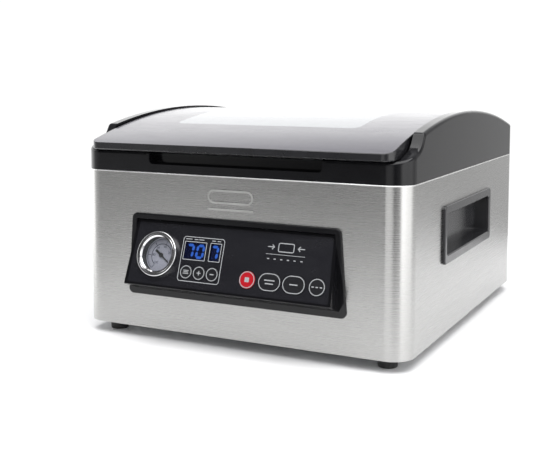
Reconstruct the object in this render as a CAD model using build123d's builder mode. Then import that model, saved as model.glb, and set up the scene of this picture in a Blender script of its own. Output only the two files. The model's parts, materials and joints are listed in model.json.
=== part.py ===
"""Vacuum chamber sealer, as an assembly of separate pieces.

Millimetres, +Z up. The machine faces -Y. The origin is on the surface that it stands on, below the
middle of its bounding box. Depths into the machine are measured back from the housing's front face.
"""
from build123d import *
import os
from math import cos, radians, sin, sqrt, tan

os.makedirs("parts", exist_ok=True)

# ---- Driving dimensions -------------------------------------------------------------------------

WIDTH = 360.0                  # housing, side to side
DEPTH = 412.0                  # housing, front to back
PANEL_REACH = 21.0             # how far the control panel's lower lip stands out in front
BEZEL_REACH = 21.6             # the gauge's bezel on that panel: the machine's foremost point
REAR_REACH = 2.0               # how far the power inlet's flange stands out behind
FRONT_Y = BEZEL_REACH - (DEPTH + BEZEL_REACH + REAR_REACH) / 2
MID_Y = FRONT_Y + DEPTH / 2
REAR_Y = FRONT_Y + DEPTH
HALF = WIDTH / 2
CORNER_R = 22.0                # vertical corners of the housing, in front
REAR_CORNER_R = 28.0
OUTLINE_SHIFT = 50.0           # the outline's two rectangles lie this far in front of and behind MID_Y

FOOT_H = 12.0
BASE_SHEET = 1.5
FLOOR = FOOT_H + BASE_SHEET    # upper side of the base plate
STEEL_TOP = 173.3              # where the steel ends and the moulded top begins
BAND_TOP = 194.5               # top of the moulded band across the front
ARCH_TOP = 233.5               # highest point of the side cheeks
ARCH_R = 720.0                 # in front of the highest point
ARCH_REAR_R = 860.0            # behind it
ARCH_DEPTH = 192.0             # depth of the arch's highest point
SHEET = 1.2                    # steel sheet of the housing
SHEET_EDGE_R = 0.8             # rounding of the sheet's upper edge
BADGE_PROUD = 0.5
WALL = 3.0                     # moulded walls

RAMP_START = 4.0               # depth where the cheek's edge starts to rise from the band
RAMP_R = 12.0
NOTCH_FOOT = (36.0, 203.9)     # depth and height where the gentle rise turns steep
NOTCH_R = 25.0
SHOULDER_DEPTH = 45.0          # where the steep rise meets the arch
SHOULDER_R = 5.0
EDGE_R = 3.5                   # rounding of the moulding's upper edges

BAY_HALF = 168.5               # the bay that the lid lies in
BAY_FRONT = 4.0
BAY_REAR = 403.5
DECK_TOP = 192.0
TROUGH_FRONT = 381.0           # the deck steps down behind here to clear the lid's rear edge
TROUGH_FLOOR = 187.0

RECESS_HALF = 96.0             # finger recess under the lid's front edge
RECESS_FLOOR = 181.7
RECESS_DEPTH = 12.0
RECESS_R = 5.0

LID_HALF = 166.0
LID_FRONT = -6.0
LID_REAR = 398.0
LID_BOTTOM = 195.0
LID_TOP = 231.5
LID_R = 690.0
LID_ARCH_DEPTH = 193.0
LID_CORNER_R = 10.5
LID_RIM = 0.8                  # dark rim round the lid's panel
LID_CHAMFER = 0.4
LID_SHEET = 4.0
LID_FLANGE_TOP = 203.0
PANEL_REAR = 382.0             # rear edge of the lid's panel
WINDOW_HALF = 105.0
WINDOW_FRONT = 66.0
WINDOW_REAR = 316.0
GASKET_HALF = 160.5
GASKET_FRONT = 39.5
GASKET_REAR = 351.5
GASKET_R = 26.0
GASKET_WIDTH = 7.0
GROOVE_DEPTH = 4.0
HINGE_DEPTH = 392.0
HINGE_Z = 197.0
PIN_R = 2.5
RUNNING = 0.05                 # radial clearance of shafts in holes
GAP = 0.3                      # clearance between bodies that move past each other

CHAMBER_HALF = 152.0           # inside of the vacuum chamber
CHAMBER_FRONT = 48.0
CHAMBER_REAR = 343.0
CHAMBER_R = 24.0
CHAMBER_FLOOR = 119.2
PAN_FILLET = 8.0
SUCTION_HOLE = (120.0, 326.0)  # x and depth of the hole that the pump draws through
FLANGE = 10.0

HANDLE_FRONT = 112.0           # carrying recess: its opening
HANDLE_REAR = 278.0
HANDLE_LOW = 92.2
HANDLE_HIGH = 133.3
HANDLE_RIM = 8.9               # rim above and below the opening
HANDLE_RIM_ENDS = 6.2
HANDLE_PROUD = 2.8
HANDLE_DEPTH = 13.6
HANDLE_POCKET = 14.5           # how far the pocket for the fingertips rises behind the upper lip
CUP_WALL = 2.5

FRAME_TOP = 131.0              # control panel frame on the steel front
FRAME_LOW = 47.0
FRAME_TOP_HALF = 115.8
FRAME_LOW_HALF = 121.8
FRAME_R = 5.5
FRAME_THICK = 2.0
FRAME_LAP = 4.8                # how far the frame covers the edge of the steel's opening
FRAME_BACKING = 5.0            # how far the frame reaches in behind the steel
FACE_CROSSING = 114.5          # height where the sloping face leaves the frame's surface
PANEL_TILT = 19.6              # degrees of the sloping face from the vertical
PANEL_ZERO_Z = 120.0           # height of the sloping face's own origin
FACE_TOP_HALF = 110.5
FACE_LOW_HALF = 113.8
FACE_TOP_S = -4.8              # along the slope, measured down it
FACE_BORDER = 2.5
FACE_RECESS = 0.5
FACE_THICK = 2.5
BOARD_N = -12.0                # front of the key board, along the slope's normal

KEY_TRAVEL = 0.8
KEY_PROUD = 0.1
ROUND_KEYS = {                 # name: (x, distance down the slope, diameter)
    "key_set": (-43.8, 44.1, 14.2),
    "key_plus": (-29.0, 44.1, 14.2),
    "key_minus": (-14.2, 44.1, 14.2),
    "key_cancel": (24.8, 45.2, 17.4),
    "key_marinate": (97.9, 45.1, 17.2),
}
LONG_KEYS = {                  # name: (x, distance down the slope, length, height)
    "key_vacuum_seal": (48.7, 45.2, 24.3, 18.0),
    "key_seal": (74.1, 45.2, 24.2, 18.0),
}
DISPLAYS = {                   # name: (x, distance down the slope, width, height)
    "display_module_large": (-37.9, 22.7, 23.8, 17.0),
    "display_module_small": (-14.9, 22.5, 11.4, 17.0),
}
GAUGE_X = -79.3
GAUGE_S = 29.6
GAUGE_R = 22.8                 # outside of the bezel
CASE_R = 21.2
DIAL_R = 18.0
BEZEL_HOLE_R = 17.3
GROOVE_R = 20.5
BEZEL_TOP = 4.5                # heights above the sloping face's plane
LENS_TOP = 2.2
LENS_SEAT = 0.8
NEEDLE_LOW = -5.7
NEEDLE_THICK = 0.6
DIAL_TOP = -6.4
DIAL_THICK = 0.8
NEEDLE_TURN = -35              # degrees from the panel's right-hand side, at rest

SEAL_DEPTH = 63.0              # the seal bar's centre line
SEAL_HALF = 144.0
SEAL_WIDTH = 14.0
SEAL_TOP = 186.0
SEAL_LIFT = 7.0
LIFTER_X = 110.0

FOOT_X = 153.0
FOOT_DEPTHS = (25.0, 387.0)
FOOT_R = 10.0

REAR_HALF = 140.0              # the rear opening of the steel wrap
INLET = (-98.0, 46.0)          # x and z of the power inlet, seen from the front
ROCKER = (-52.0, 46.0)
FAN = (78.0, 92.0)
FAN_SIZE = 60.0


# ---- Shared places and outlines -----------------------------------------------------------------

def back(depth):
    """Y of a point that lies this far behind the housing's front face."""
    return FRONT_Y + depth


TILT = radians(PANEL_TILT)
PANEL_NORMAL = (0, -cos(TILT), sin(TILT))
PANEL_ORIGIN_Y = FRONT_Y - FRAME_THICK + (PANEL_ZERO_Z - FACE_CROSSING) * tan(TILT)
PANEL = Plane(origin=(0, PANEL_ORIGIN_Y, PANEL_ZERO_Z), x_dir=(1, 0, 0), z_dir=PANEL_NORMAL)
LIP_S = (PANEL_ORIGIN_Y - FRONT_Y + PANEL_REACH) / sin(TILT)
FRONT = Plane.XZ.offset(-FRONT_Y)
REAR = Plane(origin=(0, REAR_Y, 0), x_dir=(-1, 0, 0), z_dir=(0, 1, 0))
COVER_SCREWS = [(x, z) for x in (-REAR_HALF - 6, REAR_HALF + 6) for z in (30, 92, 155)]
COVER_SCREW_R = 1.5


def save(piece, name):
    """Label a finished piece and write its file."""
    piece.part.label = name
    export_step(piece.part, f"parts/{name}.step")


def body_outline(inset=0.0, mode=Mode.ADD):
    """The housing's plan outline, moved in by inset: two rectangles that overlap in the middle."""
    for radius, toward in ((CORNER_R, -1), (REAR_CORNER_R, 1)):
        with Locations((0, MID_Y + toward * OUTLINE_SHIFT)):
            RectangleRounded(WIDTH - 2 * inset, DEPTH - 2 * OUTLINE_SHIFT - 2 * inset, radius - inset,
                             mode=mode)


def plan_rectangle(half, front, rear, radius, mode=Mode.ADD):
    """A rounded rectangle in plan, between two depths."""
    with Locations((0, back((front + rear) / 2))):
        RectangleRounded(2 * half, rear - front, radius, mode=mode)


def trapezoid(low, low_half, high, high_half, radius, mode=Mode.ADD):
    """A symmetrical trapezoid between two heights of the sketch plane, with rounded corners."""
    with BuildSketch(mode=Mode.PRIVATE) as shape:
        with BuildLine():
            Polyline((-low_half, low), (low_half, low), (high_half, high), (-high_half, high), close=True)
        make_face()
        fillet(shape.vertices(), radius)
    add(shape.sketch, mode=mode)


def lid_cylinder(radius, mode):
    """The lid's cylindrical surface, with its axis across the machine."""
    with Locations(Location((0, back(LID_ARCH_DEPTH), LID_TOP - LID_R), (0, 90, 0))):
        Cylinder(radius, 2 * WIDTH, mode=mode)


def arch_height(depth):
    """Height of the cheeks' arch at a depth."""
    radius = ARCH_R if depth < ARCH_DEPTH else ARCH_REAR_R
    return ARCH_TOP - radius + sqrt(radius**2 - (depth - ARCH_DEPTH)**2)


# ---- Underneath: base plate and feet ------------------------------------------------------------

with BuildPart() as base_plate:
    with BuildSketch(Plane.XY.offset(FOOT_H)):
        body_outline(inset=SHEET + 0.1)
    extrude(amount=14)
    with BuildSketch(Plane.XY.offset(FLOOR)):
        body_outline(inset=SHEET + 1.3)
    extrude(amount=14, mode=Mode.SUBTRACT)
    with BuildSketch(Plane.XY.offset(FOOT_H)):
        for depth in FOOT_DEPTHS:
            with Locations((-FOOT_X, back(depth)), (FOOT_X, back(depth))):
                Circle(2.2)
        with Locations((0, back(110))):
            with GridLocations(12, 12, 14, 3):
                SlotOverall(9, 3, rotation=90)
    extrude(amount=2, mode=Mode.SUBTRACT)
    with BuildSketch(Plane.XY.offset(FLOOR)):
        with Locations((0, REAR_Y)):
            Rectangle(2 * REAR_HALF + 28, 10)
    extrude(amount=14, mode=Mode.SUBTRACT)
save(base_plate, "base_plate")

FOOT_PLACES = [(x, back(depth)) for x in (-FOOT_X, FOOT_X) for depth in FOOT_DEPTHS]

with BuildPart() as rubber_feet:
    with BuildSketch():
        with Locations(*FOOT_PLACES):
            Circle(FOOT_R - 0.6)
    extrude(amount=FOOT_H, taper=-2)
    fillet(rubber_feet.edges().group_by(Axis.Z)[0], 1.2)
    with BuildSketch():
        with Locations(*FOOT_PLACES):
            Circle(4.6)
    extrude(amount=5, mode=Mode.SUBTRACT)
    with BuildSketch():
        with Locations(*FOOT_PLACES):
            Circle(2.2)
    extrude(amount=FOOT_H, mode=Mode.SUBTRACT)
save(rubber_feet, "rubber_feet")

with BuildPart() as foot_screws:
    with BuildSketch(Plane.XY.offset(2.4)):
        with Locations(*FOOT_PLACES):
            Circle(3.8)
            RegularPolygon(1.5, 6, mode=Mode.SUBTRACT)
    extrude(amount=1.6)
    with BuildSketch(Plane.XY.offset(4)):
        with Locations(*FOOT_PLACES):
            Circle(3.8)
    extrude(amount=1)
    with BuildSketch(Plane.XY.offset(5)):
        with Locations(*FOOT_PLACES):
            Circle(2)
    extrude(amount=14)
    with BuildSketch(Plane.XY.offset(FLOOR)):
        with Locations(*FOOT_PLACES):
            RegularPolygon(4, 6)
    extrude(amount=3.2)
save(foot_screws, "foot_screws")


# ---- Housing ------------------------------------------------------------------------------------

with BuildPart() as steel_housing:
    with BuildSketch(Plane.XY.offset(FOOT_H)):
        body_outline()
    extrude(amount=STEEL_TOP - FOOT_H)
    fillet(steel_housing.edges().group_by(Axis.Z)[-1], SHEET_EDGE_R)
    with BuildSketch(Plane.XY.offset(FOOT_H)):
        body_outline(inset=SHEET)
        with Locations((0, REAR_Y)):
            Rectangle(2 * REAR_HALF, 4 * SHEET)
    extrude(amount=STEEL_TOP - FOOT_H, mode=Mode.SUBTRACT)
    with BuildSketch(FRONT):
        trapezoid(FRAME_LOW + FRAME_LAP, FRAME_LOW_HALF - FRAME_LAP, FRAME_TOP - FRAME_LAP,
                  FRAME_TOP_HALF - FRAME_LAP, 2)
    extrude(amount=-2 * SHEET, mode=Mode.SUBTRACT)
    for side in (-1, 1):
        with BuildSketch(Plane.YZ.offset(side * HALF)):
            with Locations((back((HANDLE_FRONT + HANDLE_REAR) / 2), (HANDLE_LOW + HANDLE_HIGH) / 2)):
                RectangleRounded(HANDLE_REAR - HANDLE_FRONT + 2 * CUP_WALL,
                                 HANDLE_HIGH - HANDLE_LOW + 2 * CUP_WALL, 6)
        extrude(amount=-side * 2 * SHEET, mode=Mode.SUBTRACT)
    with BuildSketch(REAR):
        with Locations(*COVER_SCREWS):
            Circle(1.7)
    extrude(amount=-2 * SHEET, mode=Mode.SUBTRACT)
    # plain raised badge: a rounded frame over a short bar
    with BuildSketch(FRONT):
        with Locations((-1.5, 153)):
            RectangleRounded(52, 15, 7.4)
            RectangleRounded(46, 9, 4.4, mode=Mode.SUBTRACT)
        with Locations((-1.5, 140.5)):
            RectangleRounded(52, 3.2, 1.5)
    extrude(amount=BADGE_PROUD)
save(steel_housing, "steel_housing")

with BuildPart() as top_housing:
    with BuildSketch(Plane.YZ) as side_profile:
        ramp = (back(RAMP_START), BAND_TOP)
        notch = (back(NOTCH_FOOT[0]), NOTCH_FOOT[1])
        shoulder = (back(SHOULDER_DEPTH), arch_height(SHOULDER_DEPTH))
        peak = (back(ARCH_DEPTH), ARCH_TOP)
        rear_top = (REAR_Y, arch_height(DEPTH))
        with BuildLine():
            Polyline((FRONT_Y, BAND_TOP), ramp, notch, shoulder)
            RadiusArc(shoulder, peak, ARCH_R)
            RadiusArc(peak, rear_top, ARCH_REAR_R)
            Polyline(rear_top, (REAR_Y, STEEL_TOP), (FRONT_Y, STEEL_TOP), (FRONT_Y, BAND_TOP))
        make_face()
        for corner, radius in ((ramp, RAMP_R), (notch, NOTCH_R), (shoulder, SHOULDER_R)):
            fillet(side_profile.vertices().sort_by_distance(corner)[0], radius)
    extrude(amount=HALF, both=True)
    with BuildSketch(Plane.XY.offset(STEEL_TOP)):
        body_outline()
    extrude(amount=100, mode=Mode.INTERSECT)
    top_edges = [edge for edge in top_housing.edges()
                 if edge.center().Z > BAND_TOP - 0.1 and not (
                     abs(edge.center().X) < 1 and FRONT_Y + 1 < edge.center().Y < REAR_Y - 1)]
    fillet(top_edges, EDGE_R)
    # skirt that drops inside the steel
    with BuildSketch(Plane.XY.offset(STEEL_TOP - 8)):
        body_outline(inset=SHEET + 0.1)
    extrude(amount=8)
    with BuildSketch(Plane.XY.offset(STEEL_TOP - 8)):
        body_outline(inset=WALL)
    extrude(amount=DECK_TOP - WALL - STEEL_TOP + 8, mode=Mode.SUBTRACT)
    # bay for the lid
    with BuildSketch(Plane.XY.offset(DECK_TOP)):
        plan_rectangle(BAY_HALF, BAY_FRONT, BAY_REAR, 6)
    extrude(amount=100, mode=Mode.SUBTRACT)
    # hollow cheeks
    for side in (-1, 1):
        with BuildSketch(Plane.YZ.offset(side * (BAY_HALF + WALL))) as cheek_hollow:
            add(side_profile.sketch)
            offset(amount=-WALL)
            with Locations((back(DEPTH), ARCH_TOP)):
                Rectangle(60, 200, mode=Mode.SUBTRACT)
            with Locations((MID_Y, DECK_TOP - WALL - 50)):
                Rectangle(2 * DEPTH, 100, mode=Mode.SUBTRACT)
        extrude(amount=side * (HALF - BAY_HALF - 2 * WALL), mode=Mode.SUBTRACT)
    # trough behind the chamber
    with BuildSketch(Plane.XY.offset(TROUGH_FLOOR - WALL)):
        plan_rectangle(BAY_HALF + WALL, TROUGH_FRONT - WALL, BAY_REAR + WALL, 6)
    extrude(amount=DECK_TOP - TROUGH_FLOOR + WALL)
    with BuildSketch(Plane.XY.offset(TROUGH_FLOOR)):
        plan_rectangle(BAY_HALF, TROUGH_FRONT, BAY_REAR, 5)
    extrude(amount=20, mode=Mode.SUBTRACT)
    # finger recess
    with BuildSketch(FRONT):
        with Locations((0, (RECESS_FLOOR - WALL + DECK_TOP) / 2)):
            Rectangle(2 * (RECESS_HALF + WALL), DECK_TOP - RECESS_FLOOR + WALL)
    extrude(amount=-(RECESS_DEPTH + WALL))
    with BuildSketch(FRONT) as recess:
        with Locations((0, RECESS_FLOOR + 15)):
            Rectangle(2 * RECESS_HALF, 30)
        fillet(recess.vertices().group_by(Axis.Y)[0], RECESS_R)
    extrude(amount=-RECESS_DEPTH, mode=Mode.SUBTRACT)
    # opening for the chamber
    with BuildSketch(Plane.XY.offset(150)):
        plan_rectangle(CHAMBER_HALF + SHEET, CHAMBER_FRONT - SHEET, CHAMBER_REAR + SHEET, CHAMBER_R + SHEET)
    extrude(amount=60, mode=Mode.SUBTRACT)
save(top_housing, "top_housing")

with BuildPart() as rear_cover:
    with BuildSketch(REAR.offset(-2 * SHEET)):
        with Locations((0, (FOOT_H + 2 + STEEL_TOP - 9) / 2)):
            RectangleRounded(2 * REAR_HALF + 24, STEEL_TOP - FOOT_H - 11, 3)
        with Locations((-INLET[0], INLET[1])):
            RectangleRounded(28.4, 20.4, 3, mode=Mode.SUBTRACT)
        with Locations((-ROCKER[0], ROCKER[1])):
            Rectangle(19.4, 13.4, mode=Mode.SUBTRACT)
        with Locations((-FAN[0], FAN[1])):
            with GridLocations(52, 7, 1, 8):
                SlotOverall(52, 3.4, mode=Mode.SUBTRACT)
        with Locations((-FAN[0] + 130, FAN[1] + 18)):
            with GridLocations(52, 7, 1, 8):
                SlotOverall(52, 3.4, mode=Mode.SUBTRACT)
    extrude(amount=SHEET)
    with BuildSketch(REAR.offset(-2 * SHEET)):
        with Locations(*COVER_SCREWS):
            Circle(COVER_SCREW_R)
    extrude(amount=SHEET, mode=Mode.SUBTRACT)
save(rear_cover, "rear_cover")

with BuildPart() as rear_cover_screws:
    with BuildSketch(REAR.offset(-4 * SHEET)):
        with Locations(*COVER_SCREWS):
            Circle(COVER_SCREW_R)
    extrude(amount=4 * SHEET)
    with BuildSketch(REAR):
        with Locations(*COVER_SCREWS):
            Circle(3.2)
    extrude(amount=1.7)
    fillet(rear_cover_screws.edges().group_by(Axis.Y)[-1], 1)
    with BuildSketch(REAR.offset(0.8)):
        with Locations(*COVER_SCREWS):
            Rectangle(3.4, 0.7)
            Rectangle(0.7, 3.4)
    extrude(amount=2, mode=Mode.SUBTRACT)
save(rear_cover_screws, "rear_cover_screws")


# ---- Carrying recesses --------------------------------------------------------------------------

with BuildPart() as handle_cup_right:
    mid_y = back((HANDLE_FRONT + HANDLE_REAR) / 2)
    mid_z = (HANDLE_LOW + HANDLE_HIGH) / 2
    length = HANDLE_REAR - HANDLE_FRONT
    height = HANDLE_HIGH - HANDLE_LOW
    with BuildSketch(Plane.YZ.offset(HALF)):
        with Locations((mid_y, mid_z)):
            RectangleRounded(length + 2 * HANDLE_RIM_ENDS, height + 2 * HANDLE_RIM, 5)
    extrude(amount=HANDLE_PROUD)
    fillet(handle_cup_right.faces().sort_by(Axis.X)[-1].edges(), 1.2)
    with BuildSketch(Plane.YZ.offset(HALF)):
        with Locations((mid_y, mid_z)):
            RectangleRounded(length + 2 * CUP_WALL, height + 2 * CUP_WALL, 6)
    extrude(amount=-HANDLE_DEPTH - CUP_WALL)
    with BuildSketch(Plane.YZ.offset(HALF - HANDLE_DEPTH - CUP_WALL)):
        with Locations((mid_y, HANDLE_HIGH + (HANDLE_POCKET + CUP_WALL - 10) / 2)):
            RectangleRounded(length + 2 * CUP_WALL, HANDLE_POCKET + CUP_WALL + 10, 6)
    extrude(amount=HANDLE_DEPTH)
    with BuildSketch(Plane.YZ.offset(HALF + HANDLE_PROUD)):
        with Locations((mid_y, mid_z)):
            RectangleRounded(length, height, 4)
    extrude(amount=-HANDLE_PROUD - HANDLE_DEPTH, taper=3, mode=Mode.SUBTRACT)
    chamfer(handle_cup_right.faces().sort_by(Axis.X)[-1].inner_wires().edges(), 1.0)
    with BuildSketch(Plane.YZ.offset(HALF - HANDLE_DEPTH)):
        with Locations((mid_y, HANDLE_HIGH + (HANDLE_POCKET - 12) / 2)):
            RectangleRounded(length - 3, HANDLE_POCKET + 12, 5)
    extrude(amount=HANDLE_DEPTH - CUP_WALL - WALL, mode=Mode.SUBTRACT)
save(handle_cup_right, "handle_cup_right")

with BuildPart() as handle_cup_left:
    mirror(handle_cup_right.part, about=Plane.YZ)
save(handle_cup_left, "handle_cup_left")


# ---- Control panel ------------------------------------------------------------------------------

def face_outline(inset, radius, mode=Mode.ADD):
    """The sloping face's outline on its own plane, moved in by inset."""
    trapezoid(-LIP_S + inset, FACE_LOW_HALF - inset, -FACE_TOP_S - inset, FACE_TOP_HALF - inset,
              radius, mode)


with BuildPart() as panel_wedge:
    lip = PANEL.from_local_coords((0, -LIP_S, 0))
    with BuildSketch(Plane.YZ):
        with BuildLine():
            Polyline((FRONT_Y, FRAME_LOW + 5), (FRONT_Y - FRAME_THICK, FRAME_LOW + 6.5), (lip.Y, lip.Z),
                     (FRONT_Y - FRAME_THICK, FACE_CROSSING), (FRONT_Y - FRAME_THICK, FRAME_TOP - 6.5),
                     (FRONT_Y + FRAME_BACKING, FRAME_TOP - 6.5), (FRONT_Y + FRAME_BACKING, FRAME_LOW + 8),
                     (FRONT_Y, FRAME_LOW + 8), close=True)
        make_face()
    extrude(amount=FRAME_LOW_HALF, both=True)
    with BuildSketch(FRONT.offset(PANEL_REACH + 5)):
        trapezoid(FRAME_LOW + 4, FACE_LOW_HALF + 0.6, FRAME_TOP, FACE_TOP_HALF, 1.5)
    extrude(amount=-PANEL_REACH - 10, mode=Mode.INTERSECT)
    fillet(panel_wedge.edges().filter_by(Axis.X).sort_by(Axis.Y)[0], 1.0)

with BuildPart() as panel_frame:
    with BuildSketch(FRONT):
        trapezoid(FRAME_LOW, FRAME_LOW_HALF, FRAME_TOP, FRAME_TOP_HALF, FRAME_R)
    extrude(amount=FRAME_THICK)
    fillet(panel_frame.edges().group_by(Axis.Y)[0], 1.2)
    add(panel_wedge.part)
    with BuildSketch(PANEL):
        face_outline(0, 1.5)
    extrude(amount=20, mode=Mode.SUBTRACT)
    with BuildSketch(PANEL):
        face_outline(FACE_BORDER, 2.5)
    extrude(amount=-FACE_RECESS - FACE_THICK, mode=Mode.SUBTRACT)
    with BuildSketch(PANEL):
        face_outline(FACE_BORDER + 2.5, 2.5)
    extrude(amount=-60, mode=Mode.SUBTRACT)
save(panel_frame, "panel_frame")

with BuildPart() as panel_face:
    with BuildSketch(PANEL.offset(-FACE_RECESS)):
        face_outline(FACE_BORDER, 2.5)
        with Locations((GAUGE_X, -GAUGE_S)):
            Circle(CASE_R + 0.1, mode=Mode.SUBTRACT)
        for x, s, width, height in DISPLAYS.values():
            with Locations((x, -s)):
                RectangleRounded(width, height, 0.8, mode=Mode.SUBTRACT)
        for x, s, diameter in ROUND_KEYS.values():
            with Locations((x, -s)):
                Circle(diameter / 2, mode=Mode.SUBTRACT)
        for x, s, width, height in LONG_KEYS.values():
            with Locations((x, -s)):
                SlotOverall(width, height, mode=Mode.SUBTRACT)
    extrude(amount=-FACE_THICK)
save(panel_face, "panel_face")

with BuildPart() as display_lenses:
    with BuildSketch(PANEL.offset(-FACE_RECESS - 0.2)):
        for x, s, width, height in DISPLAYS.values():
            with Locations((x, -s)):
                RectangleRounded(width, height, 0.8)
    extrude(amount=-FACE_THICK + 0.2)
save(display_lenses, "display_lenses")

for name, (x, s, width, height) in DISPLAYS.items():
    with BuildPart() as display_module:
        with BuildSketch(PANEL.offset(-FACE_RECESS - FACE_THICK)):
            with Locations((x, -s)):
                RectangleRounded(width - 0.6, height + 2, 0.6)
        extrude(amount=BOARD_N + FACE_RECESS + FACE_THICK)
        chamfer(display_module.edges().group_by(Axis.Y)[0], 0.3)
    save(display_module, name)

KEY_STOP = -FACE_RECESS - FACE_THICK - GAP - 0.1
KEY_BACK = KEY_STOP - 1.0
KEY_PLACES = [(x, -s) for x, s, *size in (*ROUND_KEYS.values(), *LONG_KEYS.values())]

for name, (x, s, diameter) in ROUND_KEYS.items():
    with BuildPart() as round_key:
        with BuildSketch(PANEL.offset(KEY_STOP)):
            with Locations((x, -s)):
                Circle(diameter / 2 - GAP)
        extrude(amount=KEY_PROUD - KEY_STOP)
        fillet(round_key.edges().group_by(Axis.Y)[0], 0.35)
        with BuildSketch(PANEL.offset(KEY_BACK)):
            with Locations((x, -s)):
                Circle(diameter / 2 + 0.08)
        extrude(amount=KEY_STOP - KEY_BACK)
    save(round_key, name)

for name, (x, s, width, height) in LONG_KEYS.items():
    with BuildPart() as long_key:
        with BuildSketch(PANEL.offset(KEY_STOP)):
            with Locations((x, -s)):
                SlotOverall(width - 2 * GAP, height - 2 * GAP)
        extrude(amount=KEY_PROUD - KEY_STOP)
        fillet(long_key.faces().sort_by(Axis.Y)[0].edges(), 0.35)
        with BuildSketch(PANEL.offset(KEY_BACK)):
            with Locations((x, -s)):
                SlotOverall(width + 0.16, height + 0.16)
        extrude(amount=KEY_STOP - KEY_BACK)
    save(long_key, name)

with BuildPart() as key_board:
    with BuildSketch(PANEL.offset(BOARD_N)):
        with Locations((24, -31)):
            RectangleRounded(158, 50, 2)
    extrude(amount=-1.6)
    # one push switch behind each key
    with BuildSketch(PANEL.offset(BOARD_N)):
        with Locations(*KEY_PLACES):
            Rectangle(6, 6)
    extrude(amount=4.8)
    with BuildSketch(PANEL.offset(BOARD_N + 4.8)):
        with Locations(*KEY_PLACES):
            Circle(1.7)
    extrude(amount=KEY_BACK - KEY_TRAVEL - 0.2 - BOARD_N - 4.8)
save(key_board, "key_board")


# ---- Vacuum gauge -------------------------------------------------------------------------------

def gauge_plane(height):
    """A plane across the gauge at a height above the sloping face's plane."""
    return Plane(origin=PANEL.from_local_coords((GAUGE_X, -GAUGE_S, height)), x_dir=(1, 0, 0),
                 z_dir=PANEL_NORMAL)


CASE_DEPTH = 24.0
SPINDLE_R = 0.8

with BuildPart() as gauge_case:
    with BuildSketch(gauge_plane(-CASE_DEPTH)):
        Circle(CASE_R)
    extrude(amount=CASE_DEPTH + LENS_SEAT)
    with BuildSketch(gauge_plane(DIAL_TOP - DIAL_THICK)):
        Circle(DIAL_R)
        Circle(SPINDLE_R, mode=Mode.SUBTRACT)
    extrude(amount=CASE_DEPTH, mode=Mode.SUBTRACT)
    # the spindle ends just in front of the needle
    with BuildSketch(gauge_plane(NEEDLE_LOW + 2 * NEEDLE_THICK)):
        Circle(DIAL_R)
    extrude(amount=CASE_DEPTH, mode=Mode.SUBTRACT)
    with BuildSketch(gauge_plane(-CASE_DEPTH)):
        RegularPolygon(6.5, 6)
    extrude(amount=-6)
    with BuildSketch(gauge_plane(-CASE_DEPTH - 6)):
        Circle(3)
    extrude(amount=-8)
save(gauge_case, "gauge_case")

with BuildPart() as gauge_dial:
    with BuildSketch(gauge_plane(DIAL_TOP)):
        Circle(DIAL_R)
        Circle(SPINDLE_R, mode=Mode.SUBTRACT)
    extrude(amount=-DIAL_THICK)
save(gauge_dial, "gauge_dial")

with BuildPart() as gauge_needle:
    with BuildSketch(gauge_plane(NEEDLE_LOW)):
        with BuildLine(Rotation(0, 0, NEEDLE_TURN)):
            Polyline((-8.4, -1.3), (0, -1.0), (14.6, -0.2), (14.6, 0.2), (0, 1.0), (-8.4, 1.3), close=True)
        make_face()
        Circle(2.4)
        Circle(SPINDLE_R + RUNNING, mode=Mode.SUBTRACT)
    extrude(amount=NEEDLE_THICK)
save(gauge_needle, "gauge_needle")

with BuildPart() as gauge_lens:
    with BuildSketch(gauge_plane(LENS_SEAT)):
        Circle(CASE_R)
    extrude(amount=LENS_TOP - LENS_SEAT)
save(gauge_lens, "gauge_lens")

with BuildPart() as gauge_bezel:
    with BuildSketch(gauge_plane(-FACE_RECESS)):
        Circle(GAUGE_R)
        Circle(CASE_R + 0.2, mode=Mode.SUBTRACT)
    extrude(amount=FACE_RECESS + LENS_TOP)
    with BuildSketch(gauge_plane(LENS_TOP)):
        Circle(GAUGE_R)
        Circle(BEZEL_HOLE_R, mode=Mode.SUBTRACT)
    extrude(amount=BEZEL_TOP - LENS_TOP)
    # groove between the outer and the inner ring
    with BuildSketch(gauge_plane(BEZEL_TOP)):
        Circle(GROOVE_R)
        Circle(GROOVE_R - 0.8, mode=Mode.SUBTRACT)
    extrude(amount=-1.2, mode=Mode.SUBTRACT)
    chamfer(gauge_bezel.edges().group_by(Axis.Y)[0].sort_by(SortBy.RADIUS)[0], 1.4)
    fillet(gauge_bezel.edges().group_by(Axis.Y)[0].sort_by(SortBy.RADIUS)[-1], 1.0)
save(gauge_bezel, "gauge_bezel")


# ---- Vacuum chamber and seal bar ----------------------------------------------------------------

with BuildPart() as chamber_hollow:
    with BuildSketch(Plane.XY.offset(CHAMBER_FLOOR)):
        plan_rectangle(CHAMBER_HALF, CHAMBER_FRONT, CHAMBER_REAR, CHAMBER_R)
    extrude(amount=DECK_TOP + 5 - CHAMBER_FLOOR)
    fillet(chamber_hollow.edges().group_by(Axis.Z)[0], PAN_FILLET)

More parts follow.
